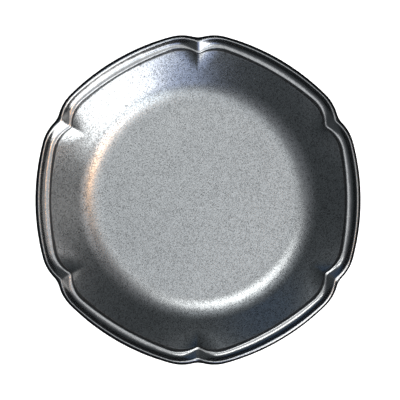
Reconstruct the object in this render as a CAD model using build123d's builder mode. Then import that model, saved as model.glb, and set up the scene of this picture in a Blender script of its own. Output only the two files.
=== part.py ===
"""Paten plate: a shallow six-lobed pewter dish with an applied moulded border and a foot ring.

The dish is one pressed sheet: a flat round floor, a round fillet and a flaring wall that turns
from a circle at its foot to six lobes at its top. A crease runs down the wall from each cusp
between two lobes. The border is six moulded lengths, one for each lobe, lapped over the edge of the
dish, mitred at the cusps and soldered. The foot ring is soldered under the floor.

Frame: millimetres, +Z up, origin at the centre of the foot ring's resting face. A lobe is
centred on +X, and a cusp lies on +Y.
"""

import os
from math import asin, atan, cos, hypot, radians, sin, sqrt, tan

from build123d import *

# Driving dimensions
LOBES = 6
HALF_LOBE = 180 / LOBES  # degrees from a lobe's middle to its cusp
RIM_MID = 114.0  # centre to the outer edge at a lobe's middle
CREST_MID = 105.0  # centre to the border's inner crest at a lobe's middle
FLOOR_R = 66.5  # flat of the floor
WALL_FOOT_R = 86.5  # where the fillet ends and the wall begins
WALL_SLOPE = 27.0  # degrees above level, at a lobe's middle
SHEET = 1.5  # thickness of the dish
FOOT_H = 3.0
FOOT_R = 64.0  # middle of the foot ring's section
FOOT_W = 2.6
FOOT_ROUND = 0.6  # rounding of its two resting edges
SOLDER = 0.1  # film of solder in the lap joint

# Plan of a lobe: a wide middle arc, centred behind the plate's centre, and two corner arcs
RIM_SETBACK = 44.1
RIM_CORNER_R = 30.4
RIM_CORNER_AT = 20.5  # degrees from the lobe's middle
CREST_SETBACK = 91.0
CREST_CORNER_R = 23.0
CREST_CORNER_AT = 19.0

# Cusps: degrees on each side over which they are rounded, at the outer edge and at the crest
RIM_TIP = 2.0
CREST_TIP = 1.0
TIP_GROWTH = 3  # power by which the rounding widens from the crest to the outer edge
CUSP_SPAN = 6.0  # degrees on each side over which the border's hollow fills out
FILL_GROWTH = 1.5  # power by which it does so

# The wall's top with its shoulders and cusps smoothed away, and the creases that run down from the cusps
WALL_MEAN_R = 106.0
WALL_SWING = 1.0  # how much of the lobes the smoothed outline keeps
CREASE_APEX = 0.2  # share of the wall's rise where the creases begin
CREASE_FADE = 1.7  # power by which they deepen up to the cusps
CREASE_TAPER = 0.5  # power by which they widen up to the cusps

# Heights worked out from the dimensions above
FLOOR_Z = FOOT_H + SHEET
FILLET_R = (WALL_FOOT_R - FLOOR_R) / sin(radians(WALL_SLOPE))
WALL_FOOT_Z = FLOOR_Z + FILLET_R * (1 - cos(radians(WALL_SLOPE)))
WALL_RISE = (CREST_MID - WALL_FOOT_R) * tan(radians(WALL_SLOPE))
CREST_Z = WALL_FOOT_Z + WALL_RISE  # the wall's height under the border's inner crest

# The border's lap over the dish, as shares of the wall's rise
LAP_START = 0.9
LAP_END = 1.07
LAP_STOP = 1.075  # the inner side of the border's lip, just clear of the dish's edge

# Section of the border: share of its width, height over CREST_Z at a lobe's middle, height at a cusp
BORDER_FACE = [
    (-0.115, 1.0, 0.95),  # top of the riser that stands on the dish
    (-0.035, 1.38, 1.36),
    (0.07, 1.44, 1.52),  # the crest
    (0.16, 1.53, 1.85),
    (0.31, 1.92, 2.5),  # the hollow, which fills out at the cusps
    (0.46, 2.72, 3.15),
    (0.6, 3.7, 3.82),
    (0.75, 4.36, 4.36),  # top of the bead
    (0.81, 4.18, 4.18),
    (0.97, 2.95, 2.95),
]
BORDER_EDGE = (1.0, 2.55, 2.55)
BORDER_UNDER = (0.93, 2.1, 2.1)

# Points of the curves
LOBE_POINTS = 31  # along one lobe of a ring, and sections along one length of border
CROWDING = 0.4  # how much closer they stand at the cusps
FILLET_RINGS = 5
WALL_RINGS = 10
SEAT_POINTS = 5  # across the border's seat on the dish
SLOPE_STEP = 0.01  # degrees over which an outline's slope is taken


def arc_radius(angle, middle, setback, corner_r, corner_at):
    """Polar radius of a lobe made of a wide arc and two corner arcs, angle in degrees from its middle."""
    arc_r = middle + setback
    if angle <= corner_at:
        return sqrt(arc_r**2 - (setback * sin(radians(angle))) ** 2) - setback * cos(radians(angle))
    turn = radians(corner_at) - asin(setback * sin(radians(corner_at)) / arc_r)
    x = (arc_r - corner_r) * cos(turn) - setback
    y = (arc_r - corner_r) * sin(turn)
    off = radians(angle) - atan(y / x)
    reach = hypot(x, y)
    return reach * cos(off) + sqrt(corner_r**2 - (reach * sin(off)) ** 2)


def lobe_radius(angle, tip, *shape):
    """The same radius with the cusp rounded over its last degrees, tip of them on each side."""
    a = abs(angle)
    start = HALF_LOBE - tip
    if a <= start:
        return arc_radius(a, *shape)
    slope = (arc_radius(start, *shape) - arc_radius(start - SLOPE_STEP, *shape)) / SLOPE_STEP
    left = (HALF_LOBE - a) / tip
    return arc_radius(start, *shape) + slope * tip / 2 * (1 - left**2)


def crest_radius(angle):
    return lobe_radius(angle, CREST_TIP, CREST_MID, CREST_SETBACK, CREST_CORNER_R, CREST_CORNER_AT)


def border_radius(angle, share):
    """Radius at a share of the border's width, 0 at its crest and 1 at the outer edge. The cusp is rounded
    more towards the outer edge."""
    tip = max(CREST_TIP, RIM_TIP * share**TIP_GROWTH)
    outer = lobe_radius(angle, tip, RIM_MID, RIM_SETBACK, RIM_CORNER_R, RIM_CORNER_AT)
    inner = crest_radius(angle)
    return inner + share * (outer - inner)


def wall_outline(angle):
    """The wall's top with its shoulders and creases smoothed away."""
    return WALL_MEAN_R - WALL_SWING * cos(radians(LOBES * angle))


def wall_radius(angle, share):
    """Radius at a share of the wall's rise, 0 at its round foot and 1 under the lobed crest. A crease widens
    and deepens from its apex up to the cusp."""
    straight = WALL_FOOT_R + share * (wall_outline(angle) - WALL_FOOT_R)
    if share <= CREASE_APEX:
        return straight
    grown = (share - CREASE_APEX) / (1 - CREASE_APEX)
    from_cusp = min(HALF_LOBE, (HALF_LOBE - abs(angle)) / min(grown, 1) ** CREASE_TAPER)
    like = HALF_LOBE - from_cusp
    return straight + grown**CREASE_FADE * (crest_radius(like) - wall_outline(like))


def wall_z(share):
    return WALL_FOOT_Z + share * WALL_RISE


def lobe_angles():
    """Angles across a lobe, closer together near its cusps."""
    steps = [2 * i / (LOBE_POINTS - 1) - 1 for i in range(LOBE_POINTS)]
    return [HALF_LOBE * t * (1 + CROWDING * (1 - t * t)) for t in steps]


def dish_stations():
    """(radius as a function of angle, height, slope in degrees) up the dish's upper surface."""
    stations = []
    for i in range(FILLET_RINGS):
        slope = WALL_SLOPE * i / FILLET_RINGS
        r = FLOOR_R + FILLET_R * sin(radians(slope))
        z = FLOOR_Z + FILLET_R * (1 - cos(radians(slope)))
        stations.append((lambda angle, r=r: r, z, slope))
    for i in range(WALL_RINGS + 1):
        share = i / WALL_RINGS
        stations.append((lambda angle, s=share: wall_radius(angle, s), wall_z(share), WALL_SLOPE))
    stations.append((lambda angle: wall_radius(angle, LAP_END), wall_z(LAP_END), WALL_SLOPE))
    return stations


def ring_sketch(radius_at, z, grow=0.0):
    """A level face bounded by one closed lobed ring."""
    with BuildSketch(Plane.XY.offset(z)) as ring:
        with BuildLine():
            for lobe in range(LOBES):
                points = []
                for angle in lobe_angles():
                    r = radius_at(angle) + grow
                    direction = radians(lobe * 2 * HALF_LOBE + angle)
                    points.append((r * cos(direction), r * sin(direction)))
                Spline(*points)
        make_face()
    return ring.sketch


def under_sketch(radius_at, z, slope):
    """The ring on the dish's underside, one sheet's thickness square off a ring of its upper surface."""
    return ring_sketch(radius_at, z - SHEET * cos(radians(slope)), grow=SHEET * sin(radians(slope)))


def border_section(angle):
    """The border's closed section in the upright plane at an angle from its lobe's middle."""
    a = radians(angle)
    plane = Plane(origin=(0, 0, 0), x_dir=(cos(a), sin(a), 0), z_dir=(sin(a), -cos(a), 0))
    from_cusp = min(1, (HALF_LOBE - abs(angle)) / CUSP_SPAN)
    filled = (1 - from_cusp**2) ** FILL_GROWTH

    def on_border(share, height, cusp_height):
        return (border_radius(angle, share), CREST_Z + height + filled * (cusp_height - height))

    face = [on_border(*row) for row in BORDER_FACE]
    under = on_border(*BORDER_UNDER)
    seat = []
    for i in range(SEAT_POINTS):
        share = LAP_STOP + (LAP_START - LAP_STOP) * i / (SEAT_POINTS - 1)
        seat.append((wall_radius(angle, share), wall_z(share) + SOLDER))
    lip_r = seat[0][0] + SHEET * sin(radians(WALL_SLOPE))
    lip_z = seat[0][1] - SHEET * cos(radians(WALL_SLOPE))
    with BuildSketch(plane) as section:
        with BuildLine():
            Line(seat[-1], face[0])
            Spline(*face)
            Spline(face[-1], on_border(*BORDER_EDGE), under)
            Line(under, (lip_r, lip_z))
            Line((lip_r, lip_z), seat[0])
            Spline(*seat)
        make_face()
    return section.sketch


with BuildPart() as dish:
    stations = dish_stations()
    for station in stations:
        add(under_sketch(*station))
    loft()
    # the sheet's edge, cut square to its faces
    edge_radius_at, edge_z, edge_slope = stations[-1]
    add(under_sketch(edge_radius_at, edge_z, edge_slope))
    add(ring_sketch(edge_radius_at, edge_z))
    loft(ruled=True)
    for radius_at, z, slope in stations:
        add(ring_sketch(radius_at, z))
    loft(mode=Mode.SUBTRACT)
dish.part.label = "dish"

with BuildPart() as border_length:
    for angle in lobe_angles():
        add(border_section(angle))
    loft()

with BuildPart() as foot_ring:
    with BuildSketch(Plane.XZ):
        with Locations((FOOT_R, FOOT_H / 2)):
            Rectangle(FOOT_W, FOOT_H)
    revolve(axis=Axis.Z)
    fillet(foot_ring.edges().group_by(Axis.Z)[0], FOOT_ROUND)
foot_ring.part.label = "foot_ring"

os.makedirs("parts", exist_ok=True)
export_step(dish.part, "parts/dish.step")
export_step(foot_ring.part, "parts/foot_ring.step")
for lobe in range(LOBES):
    length = border_length.part.rotate(Axis.Z, lobe * 2 * HALF_LOBE)
    length.label = f"border_length_{lobe + 1}"
    export_step(length, f"parts/{length.label}.step")
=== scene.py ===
"""Looks of the paten plate: a lobed pewter dish, its applied border in six lengths, and its foot ring.

Each piece repeats its CAD node's shape with a finer mesh, and adds the solder's fillets and the finish of
the metal. Shapes are in millimetres and degrees until their points are placed. The studio is in metres.
"""

from math import asin, atan, cos, hypot, pi, radians, sin, sqrt, tan

import bpy
import numpy as np
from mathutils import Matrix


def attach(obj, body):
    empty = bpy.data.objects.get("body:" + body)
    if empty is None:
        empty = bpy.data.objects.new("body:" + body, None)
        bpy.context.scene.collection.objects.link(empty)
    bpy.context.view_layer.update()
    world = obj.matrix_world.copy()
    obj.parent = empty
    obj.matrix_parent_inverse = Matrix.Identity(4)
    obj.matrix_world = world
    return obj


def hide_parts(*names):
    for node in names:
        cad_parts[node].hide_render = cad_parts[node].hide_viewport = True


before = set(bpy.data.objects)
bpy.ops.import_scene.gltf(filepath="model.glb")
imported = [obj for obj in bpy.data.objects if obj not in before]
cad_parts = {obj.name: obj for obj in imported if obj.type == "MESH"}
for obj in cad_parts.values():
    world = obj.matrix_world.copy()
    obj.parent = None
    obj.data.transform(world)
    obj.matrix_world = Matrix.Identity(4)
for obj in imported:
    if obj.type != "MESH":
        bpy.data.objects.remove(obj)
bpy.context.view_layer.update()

MM = 0.001

# Driving dimensions, the same as the part's
LOBES = 6
HALF_LOBE = 180 / LOBES
RIM_MID = 114.0
CREST_MID = 105.0
FLOOR_R = 66.5
WALL_FOOT_R = 86.5
WALL_SLOPE = 27.0
SHEET = 1.5
FOOT_H = 3.0
FOOT_R = 64.0
FOOT_W = 2.6
FOOT_ROUND = 0.6
SOLDER = 0.1

# Plan of a lobe, its cusps and the wall's creases
RIM_SETBACK = 44.1
RIM_CORNER_R = 30.4
RIM_CORNER_AT = 20.5
CREST_SETBACK = 91.0
CREST_CORNER_R = 23.0
CREST_CORNER_AT = 19.0
RIM_TIP = 2.0
CREST_TIP = 1.0
TIP_GROWTH = 3
CUSP_SPAN = 6.0
FILL_GROWTH = 1.5
WALL_MEAN_R = 106.0
WALL_SWING = 1.0
CREASE_APEX = 0.2
CREASE_FADE = 1.7
CREASE_TAPER = 0.5
SLOPE_STEP = 0.01  # degrees over which an outline's slope is taken

# Heights worked out from the dimensions above
FLOOR_Z = FOOT_H + SHEET
FILLET_R = (WALL_FOOT_R - FLOOR_R) / sin(radians(WALL_SLOPE))
WALL_FOOT_Z = FLOOR_Z + FILLET_R * (1 - cos(radians(WALL_SLOPE)))
WALL_RISE = (CREST_MID - WALL_FOOT_R) * tan(radians(WALL_SLOPE))
CREST_Z = WALL_FOOT_Z + WALL_RISE

# The border's lap over the dish, as shares of the wall's rise
LAP_START = 0.9
LAP_END = 1.07
LAP_STOP = 1.075

# Finish of the dish
PAINTED_SHADE_SPAN = 0.04  # share of the wall's rise, inside the border, over which painted shade grows where the border's step shades the wall
STRETCH_START = 0.3  # share of the fillet's turn where the sheet begins to be stretched
STRETCH_SPAN = 0.25  # share of it over which the stretch becomes full

# Section of the border: share of its width, height over CREST_Z at a lobe's middle, height at a cusp, and
# painted shade, from 0 on lit metal to 1 in a recess or joint, where shade is painted into the colour
BORDER_FACE = [
    (-0.1, 1.1, 1.05, 0.4),  # the rounded top of the riser that stands on the dish
    (-0.035, 1.38, 1.36, 0),
    (0.07, 1.44, 1.52, 0),  # the crest
    (0.16, 1.53, 1.85, 0),
    (0.31, 1.92, 2.5, 0),  # the hollow, which fills out at the cusps
    (0.46, 2.72, 3.15, 0),
    (0.6, 3.7, 3.82, 0),
    (0.75, 4.36, 4.36, 0),  # top of the bead
    (0.81, 4.18, 4.18, 0),
    (0.97, 2.95, 2.95, 0.3),
    (0.9995, 2.55, 2.55, 0.6),  # the outer edge, a hair inside the solid's, darkened with painted shade
    (0.93, 2.1, 2.1, 1),  # undercut, dark with painted shade
]
RISER_CORNER = (-0.115, 1.0, 0.95)  # share and heights of the corner that the riser's rounded top cuts off
RISER_BASE = (0.2, 1)  # share of the riser's height, and painted shade
RISER_FACE = [(0.5, 1), (0.9, 0.8)]
SOLDER_BEAD = [(-0.12, -0.02), (0.08, 0.1)]  # radius and height from the foot of the riser
FOOT_SOLDER_R = 0.7  # concave fillets of solder where the foot ring meets the dish

# Mesh density
COLUMNS = 96  # across one lobe
CROWDING = 0.4  # how much closer the columns stand at the cusps
FLOOR_ROWS = 8
FILLET_ROWS = 16
WALL_ROWS = 40
SEAT_ROWS = 5
FACE_ROWS = 4  # in each span of the border's face
UNDER_ROWS = 4  # on the border's underside
ROUND_ROWS = 5  # in each rounding and solder fillet of the foot ring
FOOT_COLUMNS = 288
SHARP_ANGLE = 40  # degrees between faces that meet in a sharp edge


# --- plan of a lobe ---------------------------------------------------------------------------


def arc_radius(angle, middle, setback, corner_r, corner_at):
    """Polar radius of a lobe made of a wide arc and two corner arcs, angle in degrees from its middle."""
    arc_r = middle + setback
    if angle <= corner_at:
        return sqrt(arc_r**2 - (setback * sin(radians(angle))) ** 2) - setback * cos(radians(angle))
    turn = radians(corner_at) - asin(setback * sin(radians(corner_at)) / arc_r)
    x = (arc_r - corner_r) * cos(turn) - setback
    y = (arc_r - corner_r) * sin(turn)
    off = radians(angle) - atan(y / x)
    reach = hypot(x, y)
    return reach * cos(off) + sqrt(corner_r**2 - (reach * sin(off)) ** 2)


def lobe_radius(angle, tip, *shape):
    """The same radius with the cusp rounded over its last degrees, tip of them on each side."""
    a = abs(angle)
    start = HALF_LOBE - tip
    if a <= start:
        return arc_radius(a, *shape)
    slope = (arc_radius(start, *shape) - arc_radius(start - SLOPE_STEP, *shape)) / SLOPE_STEP
    left = (HALF_LOBE - a) / tip
    return arc_radius(start, *shape) + slope * tip / 2 * (1 - left**2)


def crest_radius(angle):
    return lobe_radius(angle, CREST_TIP, CREST_MID, CREST_SETBACK, CREST_CORNER_R, CREST_CORNER_AT)


def border_radius(angle, share):
    """Radius at a share of the border's width, 0 at its crest and 1 at the outer edge. The cusp is rounded
    more towards the outer edge."""
    tip = max(CREST_TIP, RIM_TIP * share**TIP_GROWTH)
    outer = lobe_radius(angle, tip, RIM_MID, RIM_SETBACK, RIM_CORNER_R, RIM_CORNER_AT)
    inner = crest_radius(angle)
    return inner + share * (outer - inner)


def wall_outline(angle):
    """The wall's top with its shoulders and creases smoothed away."""
    return WALL_MEAN_R - WALL_SWING * cos(radians(LOBES * angle))


def wall_radius(angle, share):
    """Radius at a share of the wall's rise, 0 at its round foot and 1 under the lobed crest. A crease widens
    and deepens from its apex up to the cusp."""
    straight = WALL_FOOT_R + share * (wall_outline(angle) - WALL_FOOT_R)
    if share <= CREASE_APEX:
        return straight
    grown = (share - CREASE_APEX) / (1 - CREASE_APEX)
    from_cusp = min(HALF_LOBE, (HALF_LOBE - abs(angle)) / min(grown, 1) ** CREASE_TAPER)
    like = HALF_LOBE - from_cusp
    return straight + grown**CREASE_FADE * (crest_radius(like) - wall_outline(like))


def wall_z(share):
    return WALL_FOOT_Z + share * WALL_RISE


def column_angles():
    """Angles across a lobe, closer together near its cusps."""
    steps = np.linspace(-1, 1, COLUMNS + 1)
    return [float(HALF_LOBE * t * (1 + CROWDING * (1 - t * t))) for t in steps]


# --- meshes -----------------------------------------------------------------------------------


def place(angle, lobe, r, z):
    """The point in metres at an angle from a lobe's middle."""
    direction = radians(angle + lobe * 2 * HALF_LOBE)
    return (r * cos(direction) * MM, r * sin(direction) * MM, z * MM)


def smooth_curve(points, per_span):
    """Points along a natural cubic spline through the given rows of radius, height and tarnish."""
    rows = np.array(points, float)
    steps = np.hypot(*np.diff(rows[:, :2], axis=0).T)
    chords = np.diff(rows, axis=0) / steps[:, None]
    system = np.eye(len(rows))
    right = np.zeros_like(rows)
    for i in range(1, len(rows) - 1):
        system[i, i - 1 : i + 2] = steps[i - 1], 2 * (steps[i - 1] + steps[i]), steps[i]
        right[i] = 6 * (chords[i] - chords[i - 1])
    bend = np.linalg.solve(system, right)
    curve = []
    for i, step in enumerate(steps):
        start = chords[i] - step * (2 * bend[i] + bend[i + 1]) / 6
        twist = (bend[i + 1] - bend[i]) / (6 * step)
        for u in step * np.arange(per_span) / per_span:
            curve.append(rows[i] + u * start + u**2 * bend[i] / 2 + u**3 * twist)
    curve.append(rows[-1])
    return [tuple(float(value) for value in point) for point in curve]


def make_piece(name, vertices, faces, finish, node, material):
    """A visible piece. Finish holds lists of one number for each vertex, which its material reads. One that
    is left out reads as 0."""
    mesh = bpy.data.meshes.new(name)
    mesh.from_pydata(vertices, [], faces)
    mesh.shade_smooth()
    mesh.set_sharp_from_angle(angle=radians(SHARP_ANGLE))
    for key, values in finish.items():
        attribute = mesh.attributes.new(key, "FLOAT", "POINT")
        attribute.data.foreach_set("value", np.array(values, np.float32))
    mesh.materials.append(material)
    piece = bpy.data.objects.new(name, mesh)
    bpy.context.scene.collection.objects.link(piece)
    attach(piece, "root")
    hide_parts(node)


def near_border(share):
    """Painted shade on the dish's wall, where the border's step shades it: none up to a narrow band just
    inside the border, then full.
    """
    return min(1, max(0, 1 - (LAP_START - share) / PAINTED_SHADE_SPAN))


def dish_rings():
    """Closed section of the dish, from the floor's middle out over the top and back underneath: (radius as a
    function of angle, height, painted shade, stretch of the metal from 0 on the floor to 1 on the wall)."""
    top = []
    for i in range(1, FLOOR_ROWS + 1):
        top.append((lambda a, r=FLOOR_R * i / FLOOR_ROWS: r, FLOOR_Z, 0, 0))
    for i in range(1, FILLET_ROWS):
        slope = WALL_SLOPE * i / FILLET_ROWS
        r = FLOOR_R + FILLET_R * sin(radians(slope))
        z = FLOOR_Z + FILLET_R * (1 - cos(radians(slope)))
        top.append((lambda a, r=r: r, z, 0, slope))
    for i in range(WALL_ROWS + 1):
        share = LAP_END * i / WALL_ROWS
        top.append((lambda a, s=share: wall_radius(a, s), wall_z(share), near_border(share), WALL_SLOPE))
    under = []
    for radius_at, z, dark, slope in reversed(top):
        out = SHEET * sin(radians(slope))
        down = SHEET * cos(radians(slope))
        under.append((lambda a, f=radius_at, out=out: f(a) + out, z - down, dark, slope))
    rings = []
    for radius_at, z, dark, slope in top + under:
        stretch = (slope / WALL_SLOPE - STRETCH_START) / STRETCH_SPAN
        rings.append((radius_at, z, dark, min(1, max(0, stretch))))
    return rings


def build_dish(material):
    angles = column_angles()[:-1]
    rings = dish_rings()
    around = LOBES * len(angles)
    vertices = [(0, 0, FLOOR_Z * MM)]
    finish = {"painted_shade": [0], "stretch": [0]}
    for radius_at, z, dark, stretch in rings:
        radii = [radius_at(a) for a in angles]
        for lobe in range(LOBES):
            vertices += [place(a, lobe, r, z) for a, r in zip(angles, radii)]
        finish["painted_shade"] += [dark] * around
        finish["stretch"] += [stretch] * around
    vertices.append((0, 0, FOOT_H * MM))
    finish["painted_shade"].append(0)
    finish["stretch"].append(0)
    last = len(vertices) - 1
    faces = []
    for j in range(around):
        after = (j + 1) % around
        faces.append((0, 1 + j, 1 + after))
        for i in range(len(rings) - 1):
            near = 1 + i * around
            far = near + around
            faces.append((near + j, far + j, far + after, near + after))
        end = 1 + (len(rings) - 1) * around
        faces.append((end + j, last, end + after))
    make_piece("dish_pressed", vertices, faces, finish, "dish", material)


def border_profile(angle):
    """Closed section of the border at an angle from its lobe's middle: (radius, height, painted shade)."""
    from_cusp = min(1, (HALF_LOBE - abs(angle)) / CUSP_SPAN)
    filled = (1 - from_cusp**2) ** FILL_GROWTH

    def on_border(share, height, cusp_height, painted_shade=0):
        z = CREST_Z + height + filled * (cusp_height - height)
        return (border_radius(angle, share), z, painted_shade)

    # the seat under the border, the solder bead and the underside take full painted shade
    seat = []
    for i in range(SEAT_ROWS + 1):
        share = LAP_STOP + (LAP_START - LAP_STOP) * i / SEAT_ROWS
        seat.append((wall_radius(angle, share), wall_z(share) + SOLDER, 1))
    foot_r, foot_z, _ = seat[-1]
    top_r, top_z, _ = on_border(*RISER_CORNER)

    def on_riser(share, painted_shade):
        return (foot_r + share * (top_r - foot_r), foot_z + share * (top_z - foot_z), painted_shade)

    solder = [(foot_r + out, foot_z + up, 1) for out, up in SOLDER_BEAD]
    solder.append(on_riser(*RISER_BASE))
    face = [on_riser(*row) for row in RISER_FACE] + [on_border(*row) for row in BORDER_FACE]
    under_r, under_z, _ = face[-1]
    lip_r = seat[0][0] + SHEET * sin(radians(WALL_SLOPE))
    lip_z = seat[0][1] - SHEET * cos(radians(WALL_SLOPE))
    under = []
    for i in range(1, UNDER_ROWS + 1):
        share = i / UNDER_ROWS
        under.append((under_r + (lip_r - under_r) * share, under_z + (lip_z - under_z) * share, 1))
    return solder + smooth_curve(face, FACE_ROWS) + under + seat


def build_border_length(lobe, material):
    vertices, painted_shade, faces = [], [], []
    angles = column_angles()
    for a in angles:
        profile = border_profile(a)
        vertices += [place(a, lobe, r, z) for r, z, dark in profile]
        painted_shade += [dark for r, z, dark in profile]
    count = len(profile)
    for i in range(len(angles) - 1):
        near, far = i * count, (i + 1) * count
        for j in range(count):
            after = (j + 1) % count
            faces.append((near + j, near + after, far + after, far + j))
    faces.append(tuple(range(count - 1, -1, -1)))
    faces.append(tuple(range(len(vertices) - count, len(vertices))))
    name = f"border_moulding_{lobe + 1}"
    node = f"border_length_{lobe + 1}"
    make_piece(name, vertices, faces, {"painted_shade": painted_shade}, node, material)


def build_foot_ring(material):
    side = FOOT_R + FOOT_W / 2
    outline = []
    for turn in np.linspace(0, pi / 2, ROUND_ROWS + 1):
        outline.append((side - FOOT_ROUND * (1 - sin(turn)), FOOT_ROUND * (1 - cos(turn)), 0))
    # the solder fillets where the foot ring meets the dish take full painted shade
    for turn in np.linspace(0, pi / 2, ROUND_ROWS + 1):
        outline.append((side + FOOT_SOLDER_R * (1 - cos(turn)), FOOT_H - FOOT_SOLDER_R * (1 - sin(turn)), 1))
    profile = outline + [(2 * FOOT_R - r, z, dark) for r, z, dark in reversed(outline)]
    count = len(profile)
    vertices, painted_shade, faces = [], [], []
    for i in range(FOOT_COLUMNS):
        vertices += [place(360 * i / FOOT_COLUMNS, 0, r, z) for r, z, dark in profile]
        painted_shade += [dark for r, z, dark in profile]
        near, far = i * count, (i + 1) % FOOT_COLUMNS * count
        for j in range(count):
            after = (j + 1) % count
            faces.append((near + j, far + j, far + after, near + after))
    finish = {"painted_shade": painted_shade}
    make_piece("foot_ring_soldered", vertices, faces, finish, "foot_ring", material)


# --- materials --------------------------------------------------------------------------------

# Finish of the metal. Shades multiply its colour, and depths are in metres.
FINE_GRAINS_PER_M = 2300
COARSE_GRAINS_PER_M = 1600  # where the sheet is stretched
GRAIN_DEPTH = 0.000006
GRAIN_DARKER = 0.7  # how far the darkest grains fall below the metal's colour
GRAIN_LIGHTER = 0.36  # how far the lightest rise above it
GRAIN_SATIN = 0.06  # how far the roughness of single grains departs from the mean
TEXTURE_TOP = 0.6  # the brightness of a texture from which its effect is full
PATCHES_PER_M = 60
PATCH_SHADE = 0.05
WAVES_PER_M = 130
PAINTED_SHADE_FACTOR = 0.45  # colour where shade is painted fully, times the lit metal's
# roughness where shade is painted fully, times the metal's own
PAINTED_SHADE_ROUGHNESS = 1.8


def pewter(name, colour, roughness, grain, wave_depth):
    """Satin pewter with a sandy grain, faint patches and waves, and shade painted dark into its recesses and
    joints, which are also made rougher there. Grain is the strength of the sandy grain, from 0 to 1."""
    material = bpy.data.materials.new(name)
    material.use_nodes = True
    nodes, links = material.node_tree.nodes, material.node_tree.links
    shader = nodes["Principled BSDF"]
    shader.inputs["Metallic"].default_value = 1.0
    coordinates = nodes.new("ShaderNodeTexCoord")

    def attribute(key):
        node = nodes.new("ShaderNodeAttribute")
        node.attribute_name = key
        return node.outputs["Fac"]

    def texture(kind, scale):
        node = nodes.new(kind)
        node.inputs["Scale"].default_value = scale
        links.new(coordinates.outputs["Object"], node.inputs["Vector"])
        return node

    def ramp(source, low, high, end=1.0):
        """The source's span from 0 to end, mapped onto low to high and held there beyond it."""
        node = nodes.new("ShaderNodeMapRange")
        node.inputs["From Max"].default_value = end
        node.inputs["To Min"].default_value = low
        node.inputs["To Max"].default_value = high
        links.new(source, node.inputs["Value"])
        return node.outputs["Result"]

    def blend(share, first, second):
        """A mix of two numbers. The node's second socket is the share of a vector mix and stays free."""
        node = nodes.new("ShaderNodeMix")
        for socket, source in zip(node.inputs, (share, None, first, second)):
            if source:
                links.new(source, socket)
        return node.outputs["Result"]

    def product(first, second):
        node = nodes.new("ShaderNodeMath")
        node.operation = "MULTIPLY"
        links.new(first, node.inputs[0])
        links.new(second, node.inputs[1])
        return node.outputs["Value"]

    def bump(height, depth, normal=None):
        node = nodes.new("ShaderNodeBump")
        node.inputs["Distance"].default_value = depth
        links.new(height, node.inputs["Height"])
        if normal:
            links.new(normal, node.inputs["Normal"])
        return node.outputs["Normal"]

    fine = texture("ShaderNodeTexVoronoi", FINE_GRAINS_PER_M).outputs["Color"]
    coarse = texture("ShaderNodeTexVoronoi", COARSE_GRAINS_PER_M).outputs["Color"]
    grains = blend(attribute("stretch"), fine, coarse)
    patches = texture("ShaderNodeTexNoise", PATCHES_PER_M).outputs["Fac"]
    waves = texture("ShaderNodeTexNoise", WAVES_PER_M).outputs["Fac"]
    painted_shade = attribute("painted_shade")

    grain_shade = ramp(grains, 1 - GRAIN_DARKER * grain, 1 + GRAIN_LIGHTER * grain, TEXTURE_TOP)
    patch_shade = ramp(patches, 1 - PATCH_SHADE, 1 + PATCH_SHADE, TEXTURE_TOP)
    # the mask darkens the colour: painted shade in recesses, joints and under the edges
    shade = product(product(grain_shade, patch_shade), ramp(painted_shade, 1, PAINTED_SHADE_FACTOR))
    tint = nodes.new("ShaderNodeVectorMath")
    tint.operation = "SCALE"
    tint.inputs[0].default_value = colour
    links.new(shade, tint.inputs["Scale"])
    links.new(tint.outputs["Vector"], shader.inputs["Base Color"])

    satin = ramp(grains, roughness * (1 + GRAIN_SATIN), roughness * (1 - GRAIN_SATIN), TEXTURE_TOP)
    links.new(product(satin, ramp(painted_shade, 1, PAINTED_SHADE_ROUGHNESS)), shader.inputs["Roughness"])

    links.new(bump(grains, GRAIN_DEPTH * grain, bump(waves, wave_depth)), shader.inputs["Normal"])
    return material


# --- studio -----------------------------------------------------------------------------------

LIGHT_DISTANCE = 3.0
BACKDROP_R = 8.0
BACKDROP_HEIGHT = 6.0
BACKDROP_SIDES = 64
EYE_HEIGHT = 1.5
EYE_X = 0.0014  # a little beside the plate's middle, for the framing
RIM_HEIGHT = 0.022
VIEW_WIDTH = 0.280  # what the picture spans at the rim's height
SENSOR_WIDTH = 36  # millimetres, as the lens
FAR_LIMIT = 50  # how far the camera sees


def pale_floor():
    """A white floor with an upright white backdrop far around it, neither of them mirrored in the metal."""
    material = bpy.data.materials.new("pale_floor")
    material.use_nodes = True
    shader = material.node_tree.nodes["Principled BSDF"]
    shader.inputs["Base Color"].default_value = (0.9, 0.9, 0.9, 1)
    shader.inputs["Roughness"].default_value = 0.9
    shader.inputs["Emission Color"].default_value = (1, 1, 1, 1)
    shader.inputs["Emission Strength"].default_value = 1.0
    vertices = []
    for z in (0, BACKDROP_HEIGHT):
        for turn in np.linspace(0, 2 * pi, BACKDROP_SIDES, endpoint=False):
            vertices.append((BACKDROP_R * cos(turn), BACKDROP_R * sin(turn), z))
    faces = [tuple(range(BACKDROP_SIDES))]
    for i in range(BACKDROP_SIDES):
        after = (i + 1) % BACKDROP_SIDES
        faces.append((i, after, BACKDROP_SIDES + after, BACKDROP_SIDES + i))
    mesh = bpy.data.meshes.new("floor")
    mesh.from_pydata(vertices, [], faces)
    mesh.materials.append(material)
    floor = bpy.data.objects.new("floor", mesh)
    bpy.context.scene.collection.objects.link(floor)
    floor.visible_glossy = False


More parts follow.
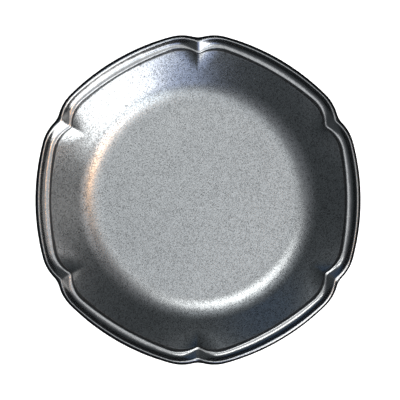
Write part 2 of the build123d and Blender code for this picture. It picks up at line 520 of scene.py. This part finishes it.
def softbox(name, azimuth, tilt, width, height, radiance, colour):
    """An elliptical light that faces the plate. Azimuth is from +X towards +Y, tilt is from straight up, and
    width and height are the angles that it spans as the plate sees it, all in degrees."""
    light = bpy.data.lights.new(name, "AREA")
    light.shape = "ELLIPSE"
    light.size = 2 * LIGHT_DISTANCE * tan(radians(width / 2))
    light.size_y = 2 * LIGHT_DISTANCE * tan(radians(height / 2))
    light.energy = radiance * pi * light.size * light.size_y
    light.color = colour
    lamp = bpy.data.objects.new(name, light)
    turn, lean = radians(azimuth), radians(tilt)
    out = LIGHT_DISTANCE * sin(lean)
    lamp.location = (out * cos(turn), out * sin(turn), LIGHT_DISTANCE * cos(lean))
    lamp.rotation_euler = (lean, 0, turn + pi / 2)
    bpy.context.scene.collection.objects.link(lamp)


def studio():
    """The room that the metal mirrors: soft lights, and a faint world around them."""
    softbox("overhead", 309, 13.5, 34, 34, 0.45, (0.96, 0.99, 1.0))
    softbox("skylight", 314, 28, 24, 20, 1.3, (0.86, 0.94, 1.0))
    softbox("ceiling_lamp", 115, 16.3, 21, 12.5, 2.45, (1.0, 1.0, 0.98))
    softbox("lamp_glow", 115, 29, 36, 9, 0.23, (0.85, 0.94, 1.0))
    softbox("window", 312, 54, 36, 32, 1.9, (1.0, 0.99, 0.98))
    softbox("window_edge", 283, 46, 22, 24, 0.5, (0.55, 0.66, 1.0))
    softbox("warm_lamp", 337, 24, 17, 8, 2.2, (1.0, 0.4, 0.02))
    softbox("side_wall", 4, 57, 26, 16, 0.27, (1.0, 0.95, 0.91))
    softbox("side_ceiling", 5, 34, 24, 16, 0.32, (1.0, 0.97, 0.97))
    softbox("blue_corner", 122, 55, 34, 20, 0.038, (0.0, 0.35, 1.0))
    softbox("ceiling", 0, 0, 68, 68, 0.085, (0.9, 0.93, 1.0))
    softbox("high_walls", 0, 0, 124, 124, 0.033, (0.85, 0.95, 1.0))
    world = bpy.data.worlds.new("studio")
    world.use_nodes = True
    background = world.node_tree.nodes["Background"]
    background.inputs["Color"].default_value = (0.75, 0.88, 1.0, 1)
    background.inputs["Strength"].default_value = 0.008
    bpy.context.scene.world = world


def camera():
    """Looks straight down on the plate, with a cusp at the top of the picture."""
    data = bpy.data.cameras.new("camera")
    data.sensor_width = SENSOR_WIDTH
    data.lens = SENSOR_WIDTH * (EYE_HEIGHT - RIM_HEIGHT) / VIEW_WIDTH
    data.clip_end = FAR_LIMIT
    eye = bpy.data.objects.new("camera", data)
    eye.location = (EYE_X, 0, EYE_HEIGHT)
    bpy.context.scene.collection.objects.link(eye)
    bpy.context.scene.camera = eye


dish_metal = pewter("dish_pewter", (0.56, 0.583, 0.597), roughness=0.27, grain=1.0, wave_depth=0.00005)
border_metal = pewter("border_pewter", (0.64, 0.65, 0.66), roughness=0.22, grain=0.22, wave_depth=0.0002)
foot_metal = pewter("foot_pewter", (0.5, 0.51, 0.52), roughness=0.42, grain=1.0, wave_depth=0.0002)

build_dish(dish_metal)
for lobe in range(LOBES):
    build_border_length(lobe, border_metal)
build_foot_ring(foot_metal)
pale_floor()
studio()
camera()
bpy.context.scene.view_settings.view_transform = "Standard"
